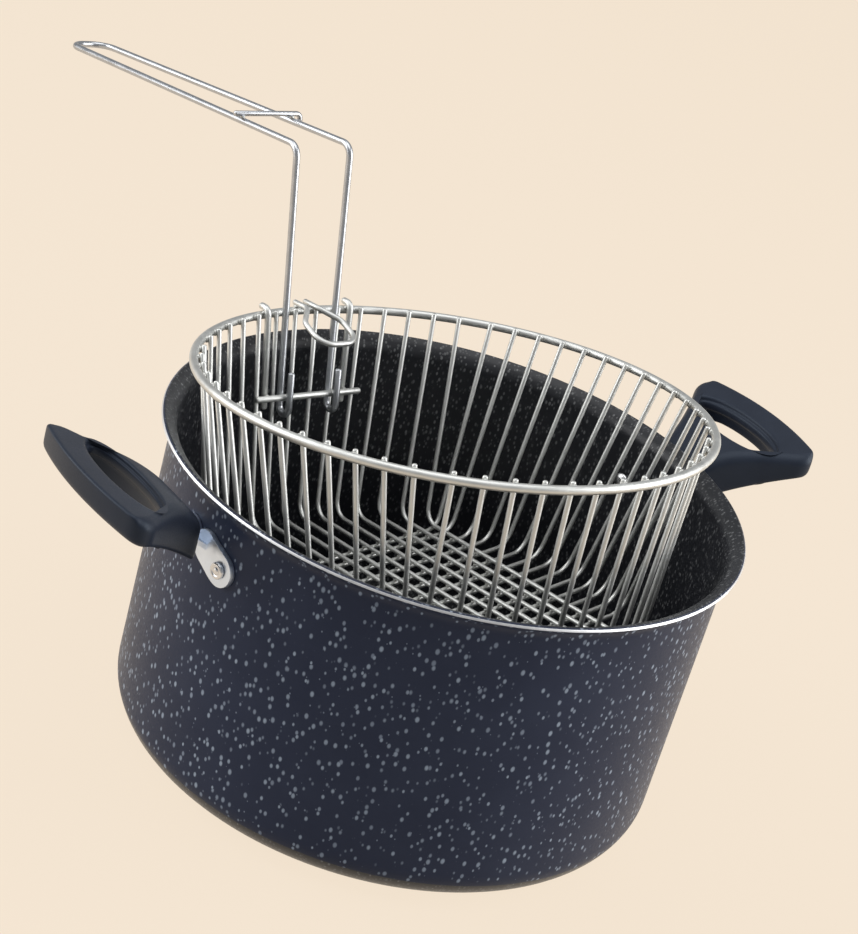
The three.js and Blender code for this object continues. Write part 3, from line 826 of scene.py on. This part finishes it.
def makeRing():
    clearSelection()
    thinner = (basket["ringWire"] - basket["ringDrawn"]) / 2
    bpy.ops.mesh.primitive_circle_add(
        vertices=basket["ringSides"], radius=basket["ringDrawn"] / 2 * mm,
        location=((basket["ringRadius"] - thinner) * mm, 0, 0), rotation=(math.pi / 2, 0, 0))
    ring = bpy.context.object
    startEditing(ring, "basketRing")
    bpy.ops.mesh.spin(
        steps=basket["ringSteps"], angle=2 * math.pi, center=(0, 0, 0), axis=(0, 0, 1), use_auto_merge=True)
    bpy.ops.mesh.select_all(action="SELECT")
    bpy.ops.mesh.remove_doubles(threshold=mergeDistance)
    finishEditing(smooth["ring"])
    # the butt weld that closes the ring stands a little proud
    bpy.ops.object.mode_set(mode="EDIT")
    bpy.ops.mesh.select_all(action="DESELECT")
    shape = bmesh.from_edit_mesh(ring.data)
    for vert in shape.verts:
        away = math.atan2(vert.co.x, -vert.co.y) - basket["buttAngle"] * degree
        if abs(away) < basket["buttHalf"] * degree:
            vert.select_set(True)
    shape.select_flush_mode()
    bmesh.update_edit_mesh(ring.data)
    bpy.ops.transform.shrink_fatten(value=basket["buttProud"] * mm)
    bpy.ops.object.mode_set(mode="OBJECT")
    putInPlace(ring, basketPlace)
    hand(ring, "basket", "basket_wire", finishes["tinnedWire"], "basket_ring")


makeRing()


# the wires across run askew under the others, so their uprights lean
def floorAngle(order, pitch, skew):
    limit = basket["skewLimit"] * degree
    angle = math.asin(order * pitch / basket["floorRadius"]) + skew * degree
    return min(max(angle, -limit), limit)


def meshRoute(index, depth, pitch=wirePitch, skew=0):
    order = index - lastWire / 2
    angle = order * basket["topSpacing"] * degree
    x, y = topRadius * math.sin(angle), topRadius * math.cos(angle)
    near, far = floorAngle(order, pitch, -skew), floorAngle(order, pitch, skew)
    floor = basket["floorRadius"]
    return [(x, y, drawnTop), (floor * math.sin(near), floor * math.cos(near), -depth),
            (floor * math.sin(far), -floor * math.cos(far), -depth), (x, -y, drawnTop)]


bends = [basket["floorBend"]] * 2
for i in range(basket["wiresEachWay"]):
    number = "%02d" % (i + 1)
    shallow = meshRoute(i, basket["floorDepth"] - layerStep / 2)
    deep = meshRoute(i, basket["floorDepth"] + layerStep / 2, skewedPitch, basket["skew"])
    along = bendWire("basketWireAlong" + number, shallow, bends, basket["meshDrawn"])
    across = bendWire("basketWireAcross" + number, deep, bends, basket["meshDrawn"])
    putInPlace(along, basketPlace)
    putInPlace(across, basketPlace @ Matrix.Rotation(math.pi / 2, 4, "Z"))
    hand(along, "basket", "basket_wire", finishes["tinnedWire"], "basket_wire_lower_" + number)
    hand(across, "basket", "basket_wire", finishes["tinnedWire"], "basket_wire_upper_" + number)
print("basket wires bent:", 2 * basket["wiresEachWay"])


# Fittings on the handle's side of the basket

fittings = {
    "barWire": 3, "barLength": 58, "barDepth": 35, "barSeatOrder": 2.5,
    "hangerWire": 3, "hangerOrder": 2, "hangerTail": 6,
    "loopWire": 2.5, "loopRoot": 5.6, "loopWidth": 20.4, "loopLength": 31, "loopNeck": 8, "loopTaper": 9,
    "loopBend": 7.4, "loopDrop": 9,
}


def uprightAt(order, depth):
    angle = order * basket["topSpacing"] * degree
    across = order * wirePitch
    down = (depth + topHeight) / (basket["floorDepth"] + topHeight)
    corner = math.sqrt(basket["floorRadius"] ** 2 - across ** 2)
    x = topRadius * math.sin(angle) * (1 - down) + across * down
    y = topRadius * math.cos(angle) * (1 - down) + corner * down
    return x, y


barDepth = fittings["barDepth"]
barY = (uprightAt(fittings["barSeatOrder"], barDepth)[1]
        - (basket["meshWire"] + fittings["barWire"]) / 2 - basket["seat"])
halfBar = fittings["barLength"] / 2
crossbar = bendWire("handleCrossbar", [(-halfBar, barY, -barDepth), (halfBar, barY, -barDepth)], [],
                    fittings["barWire"], sides=wiring["thickSides"])


def hangerRoute(side):
    wire, order = fittings["hangerWire"], fittings["hangerOrder"]
    foot = side * uprightAt(order, barDepth)[0]
    headX = side * topRadius * math.sin(order * basket["topSpacing"] * degree)
    standOff = (basket["ringWire"] + wire) / 2 + basket["seat"]
    ringY = math.sqrt(basket["ringRadius"] ** 2 - headX ** 2)
    footY = barY + (fittings["barWire"] + wire) / 2 + basket["seat"]
    return [(foot, footY, -barDepth - fittings["hangerTail"]),
            (headX, ringY - standOff, standOff),
            (headX, ringY + basket["ringWire"] / 2, standOff)]


def keeperRoute():
    height = (basket["ringWire"] + fittings["loopWire"]) / 2 + basket["seat"]
    root, wide = fittings["loopRoot"] / 2, fittings["loopWidth"] / 2
    inner = basket["ringRadius"] - fittings["loopLength"]
    waist = basket["ringRadius"] - fittings["loopNeck"]
    belly = waist - fittings["loopTaper"]
    bellyDrop = fittings["loopDrop"] * (waist - belly) / (waist - inner)
    half = [(root, basket["ringRadius"] + basket["ringWire"] / 2, height), (root, waist, height),
            (wide, belly, height - bellyDrop), (wide, inner, height - fittings["loopDrop"])]
    return half + [(-x, y, z) for x, y, z in reversed(half)]


hangers = [bendWire(name, hangerRoute(side), [fittings["hangerWire"]], fittings["hangerWire"],
                    sides=wiring["thickSides"])
           for name, side in (("leftHanger", -1), ("rightHanger", 1))]
keeper = bendWire("keeperLoop", keeperRoute(), [fittings["loopBend"]] * 6, fittings["loopWire"],
                  sides=wiring["thickSides"], bendSteps=wiring["thickBendSteps"])
for piece, node in ((crossbar, "handle_crossbar"), (hangers[0], "left_hanger"),
                    (hangers[1], "right_hanger"), (keeper, "keeper_loop")):
    putInPlace(piece, basketPlace)
    hand(piece, "basket", "basket_wire", finishes["tinnedWire"], node)
print("fittings bent")


# The folding handle hooks round the crossbar

handle = {
    "wire": 3.3, "drawn": 3.1, "hookSpacing": 26.1, "legLength": 110.6, "legClear": 2.7,
    "hookReturn": 12, "hookDrop": 7.5, "legBend": 6,
    "gripLength": 196, "gripSpacing": 29.2, "gripEndSpacing": 20.2, "gripEndBend": 9,
    "braceWire": 2.5, "braceDistance": 43, "braceOverhang": 1.5, "braceTail": 4,
}
hookRadius = (fittings["barWire"] + handle["wire"]) / 2 + basket["seat"]
ringAtLeg = math.sqrt(basket["ringRadius"] ** 2 - (handle["hookSpacing"] / 2) ** 2) - barY
legOffset = hookRadius + (handle["wire"] + basket["ringWire"]) / 2 + handle["legClear"]
legLean = math.acos(legOffset / math.hypot(ringAtLeg, barDepth)) - math.atan2(barDepth, ringAtLeg)
handlePlace = (basketPlace @ Matrix.Translation(Vector((0, barY, -barDepth)) * mm)
               @ Matrix.Rotation(-legLean, 4, "X"))


def gripPoint(x, distance, lift):
    y = hookRadius + distance * math.cos(legLean) - lift * math.sin(legLean)
    z = handle["legLength"] + distance * math.sin(legLean) + lift * math.cos(legLean)
    return (x, y, z)


def handleRoute():
    x = handle["hookSpacing"] / 2
    half = [(x, -hookRadius, handle["hookReturn"]),
            (x, -hookRadius, -handle["hookDrop"]), (x, hookRadius, -handle["hookDrop"]),
            gripPoint(handle["gripSpacing"] / 2, 0, 0),
            gripPoint(handle["gripEndSpacing"] / 2, handle["gripLength"], 0)]
    return half + [(-px, y, z) for px, y, z in reversed(half)]


def braceRoute():
    lift = (handle["wire"] + handle["braceWire"]) / 2 + basket["seat"]
    narrowing = handle["gripSpacing"] - handle["gripEndSpacing"]
    taper = narrowing * handle["braceDistance"] / handle["gripLength"]
    reach = ((handle["gripSpacing"] - taper + handle["wire"] + handle["braceWire"]) / 2
             + basket["seat"] + handle["braceOverhang"])
    far = handle["braceDistance"]
    return [gripPoint(-reach, far, lift), gripPoint(reach, far, lift),
            gripPoint(reach, far, lift - handle["braceTail"])]


handleBends = [hookRadius, hookRadius, handle["legBend"], handle["gripEndBend"]]
basketHandle = bendWire("basketHandle", handleRoute(), handleBends + handleBends[::-1], handle["drawn"],
                        sides=wiring["thickSides"], bendSteps=wiring["thickBendSteps"])
brace = bendWire("handleBrace", braceRoute(), [handle["braceWire"]], handle["braceWire"],
                 sides=wiring["thickSides"])
for piece, node in ((basketHandle, "basket_handle"), (brace, "handle_brace")):
    putInPlace(piece, handlePlace)
    hand(piece, "folding_handle", "basket_wire", finishes["handleWire"], node)
print("folding handle bent")


# Spot welds: one uneven bead, copied to each place where wires meet

weld = {
    "seed": 7, "uneven": 0.12, "subdivisions": 2,
    "ring": (1.4, 0.9, 1.5), "ringInset": 0.1, "ringHeight": 0.2,
    "floor": (0.9, 0.9, 0.5), "floorSpin": 0.7, "rowSpins": 3,
    "bar": (1.4, 0.9, 1.4), "hanger": (1.6, 1.3, 1.0), "hangerOut": 2.2, "hangerHeight": 1.4,
    "loop": (1.3, 1.6, 0.7), "loopHeight": 2.1, "brace": (1.3, 1.2, 0.7),
}


def makeBead():
    clearSelection()
    bpy.ops.mesh.primitive_ico_sphere_add(subdivisions=weld["subdivisions"], radius=1)
    bead = bpy.context.object
    startEditing(bead, "bead")
    bpy.ops.transform.vertex_random(offset=weld["uneven"], seed=weld["seed"])
    finishEditing(smooth["bead"])
    return bead


def beadsAt(name, bead, places, body, matrix):
    copies = []
    for spot, size, spin in places:
        twin = twinOf(bead)
        twin.matrix_world = (matrix @ Matrix.Translation(Vector(spot) * mm) @ Matrix.Rotation(spin, 4, "Z")
                             @ Matrix.Diagonal((*(Vector(size) * mm), 1)))
        copies.append(twin)
    clearSelection()
    for twin in copies:
        twin.select_set(True)
    bpy.context.view_layer.objects.active = copies[0]
    bpy.ops.object.join()
    joined = bpy.context.object
    rename(joined, name)
    applyPlace()
    hand(joined, body, "basket_wire", finishes["weldMetal"])


def ringWelds():
    places = []
    reach = basket["ringRadius"] - basket["ringWire"] / 2 - weld["ringInset"]
    for quarter in range(4):
        for i in range(basket["wiresEachWay"]):
            angle = (i - lastWire / 2) * basket["topSpacing"] * degree + quarter * math.pi / 2
            spot = (reach * math.sin(angle), reach * math.cos(angle), weld["ringHeight"])
            places.append((spot, weld["ring"], -angle))
    return places


def floorWelds():
    places = []
    for j in range(basket["wiresEachWay"]):
        route = meshRoute(j, 0, skewedPitch, basket["skew"])
        start, stop = Vector(route[1]), Vector(route[2])
        for i in range(basket["wiresEachWay"]):
            x = (i - lastWire / 2) * wirePitch
            y = start.x + (stop.x - start.x) * (x + start.y) / (start.y - stop.y)
            if math.hypot(x, y) < basket["floorRadius"] - basket["floorBend"]:
                spin = (i * weld["rowSpins"] + j) * weld["floorSpin"]
                places.append(((x, y, -basket["floorDepth"]), weld["floor"], spin))
    return places


def fittingWelds():
    places = []
    for side in (-1, 1):
        foot, head = [Vector(point) for point in hangerRoute(side)[:2]]
        atBar = foot.lerp(head, fittings["hangerTail"] / (head.z - foot.z))
        loopX = side * fittings["loopRoot"] / 2
        places.append(((atBar.x, (atBar.y + barY) / 2, -barDepth), weld["bar"], 0))
        places.append(((head.x, head.y + weld["hangerOut"], weld["hangerHeight"]), weld["hanger"], 0))
        places.append(((loopX, basket["ringRadius"], weld["loopHeight"]), weld["loop"], 0))
    return places


def braceWelds():
    left, right = [Vector(point) for point in braceRoute()[:2]]
    inset = basket["seat"] + handle["braceOverhang"] + (handle["wire"] + handle["braceWire"]) / 2
    lift = -(handle["braceWire"] / 2 + basket["seat"] / 2)
    return [((left.x + inset, left.y, left.z + lift), weld["brace"], 0),
            ((right.x - inset, right.y, right.z + lift), weld["brace"], 0)]


bead = makeBead()
beadsAt("ringWelds", bead, ringWelds(), "basket", basketPlace)
beadsAt("floorWelds", bead, floorWelds(), "basket", basketPlace)
beadsAt("fittingWelds", bead, fittingWelds(), "basket", basketPlace)
beadsAt("braceWelds", bead, braceWelds(), "folding_handle", handlePlace)
bpy.data.objects.remove(bead)
print("welds placed")


# Floor, light and camera

studio = {
    "floorSize": 40, "paper": (0.970, 0.834, 0.677, 1), "shadowShare": 0.10,
    "table": (0.30, 0.31, 0.33, 1), "tableRoughness": 0.9, "tableShine": 0.1,
    "worldColor": (0.96, 0.98, 1.0, 1), "worldStrength": 0.35,
}
softboxes = [
    ("topSoftbox", (-0.1, 0.1, 1.5), (0, 0, 0.1), (1.2, 1.2), 9),
    ("leftSoftbox", (-1.15, 0.95, 0.75), (0, 0, 0.08), (1.2, 1.4), 19),
    ("rightSoftbox", (1.1, -0.85, 0.75), (0, 0, 0.08), (1.2, 1.4), 22),
]
view = {
    "place": (-0.56119, -0.60168, 0.5224), "lens": 84.8, "sensor": 36,
    "right": (0.791656, -0.556461, 0.252256), "up": (0.07007, 0.492847, 0.86729),
    "back": (-0.606936, -0.668919, 0.429156),
}


# the camera and reflections see the paper's colour; other light falls on a grey table
def makeFloor():
    clearSelection()
    bpy.ops.mesh.primitive_plane_add(size=studio["floorSize"])
    floor = bpy.context.object
    floor.name = "studioFloor"
    material, tree, shader = newMaterial("paperFloor")
    feed(tree, studio["table"], shader.inputs["Base Color"])
    feed(tree, studio["tableRoughness"], shader.inputs["Roughness"])
    feed(tree, studio["tableShine"], shader.inputs["Specular IOR Level"])
    glow = addNode(tree, "ShaderNodeEmission", {"Color": studio["paper"]})
    rays = tree.nodes.new("ShaderNodeLightPath").outputs
    seen = mathNode(tree, "MAXIMUM", rays["Is Camera Ray"], rays["Is Glossy Ray"])
    share = mathNode(tree, "MULTIPLY", seen, 1 - studio["shadowShare"])
    shaders = {0: share, 1: shader.outputs["BSDF"], 2: glow.outputs["Emission"]}
    blend = addNode(tree, "ShaderNodeMixShader", shaders)
    feed(tree, blend.outputs["Shader"], tree.nodes["Material Output"].inputs["Surface"])
    floor.data.materials.append(material)


def makeWorld():
    world = bpy.data.worlds.new("studioWorld")
    bpy.context.scene.world = world
    world.use_nodes = True
    background = world.node_tree.nodes["Background"]
    background.inputs["Color"].default_value = studio["worldColor"]
    background.inputs["Strength"].default_value = studio["worldStrength"]


def makeSoftbox(name, place, target, size, power):
    light = bpy.data.lights.new(name, "AREA")
    light.shape = "RECTANGLE"
    light.size, light.size_y = size
    light.energy = power
    lamp = bpy.data.objects.new(name, light)
    bpy.context.scene.collection.objects.link(lamp)
    aim = (Vector(target) - Vector(place)).to_track_quat("-Z", "Y")
    lamp.matrix_world = Matrix.Translation(place) @ aim.to_matrix().to_4x4()


def makeCamera():
    lens = bpy.data.cameras.new("photoCamera")
    lens.lens = view["lens"]
    lens.sensor_width = view["sensor"]
    camera = bpy.data.objects.new("photoCamera", lens)
    bpy.context.scene.collection.objects.link(camera)
    turned = Matrix((view["right"], view["up"], view["back"])).transposed().to_4x4()
    camera.matrix_world = Matrix.Translation(view["place"]) @ turned
    bpy.context.scene.camera = camera


for box in softboxes:
    makeSoftbox(*box)
makeFloor()
makeWorld()
makeCamera()
bpy.context.scene.view_settings.view_transform = "Standard"
print("studio set")
